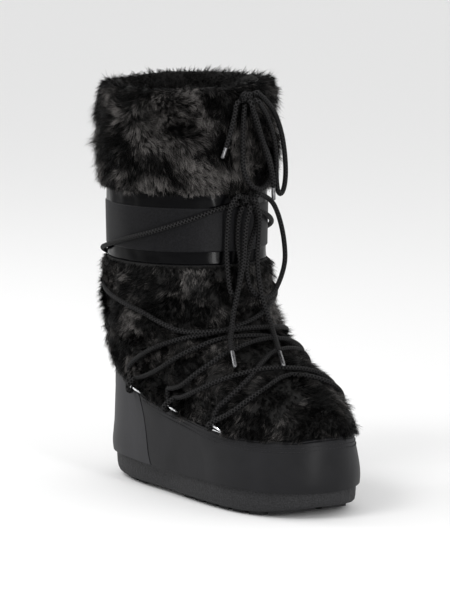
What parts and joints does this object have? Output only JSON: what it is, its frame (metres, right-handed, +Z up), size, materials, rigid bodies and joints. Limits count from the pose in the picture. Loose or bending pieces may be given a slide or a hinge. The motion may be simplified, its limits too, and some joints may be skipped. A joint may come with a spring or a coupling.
{
  "type": "apres ski boot",
  "caption": "Tall snow boot with a furry upper, a smooth rand, a banded shaft with a furry collar and a moulded lugged sole.",
  "frame": {"origin": "on the floor under the heel, at the heel rest", "axes": "+X towards the toe, +Y towards the far side, +Z up"},
  "size_m": [0.3224, 0.1626, 0.3659],
  "materials": {
    "sole_rubber": "matt granular moulded rubber",
    "insole_felt": "grey felt",
    "boot_lining": "dark brushed lining",
    "rand_coated": "smooth coated, soft sheen",
    "counter_coated": "smooth coated, soft sheen",
    "fur": "long glossy pile",
    "band_glossy": "glossy coated band",
    "ring_wire": "bright round wire",
    "lace_braid": "black round braid",
    "cord_braid": "black round braid",
    "cord_tip": "satin metal lace tips"
  },
  "bodies": {
    "root": {"outsole": "sole_rubber", "insole": "insole_felt", "upper": "boot_lining", "foot_rand": "rand_coated", "heel_counter": "counter_coated", "fur_lower": "fur", "shaft_band": "band_glossy", "fur_cuff": "fur", "lace_ring_near_1": "ring_wire", "lace_ring_near_2": "ring_wire", "lace_ring_near_3": "ring_wire", "lace_ring_far_1": "ring_wire", "lace_ring_far_2": "ring_wire", "lace_ring_far_3": "ring_wire", "lace_crossings": "lace_braid", "collar_knot": "cord_braid", "collar_loop_near": "cord_braid", "collar_end_near": "cord_braid", "collar_tip_near": "cord_tip", "collar_loop_far": "cord_braid", "collar_end_far": "cord_braid", "collar_tip_far": "cord_tip", "lace_knot": "cord_braid", "lace_loop_near": "cord_braid", "lace_end_near": "cord_braid", "lace_tip_near": "cord_tip", "lace_loop_far": "cord_braid", "lace_end_far": "cord_braid", "lace_tip_far": "cord_tip"}
  },
  "joints": []
}
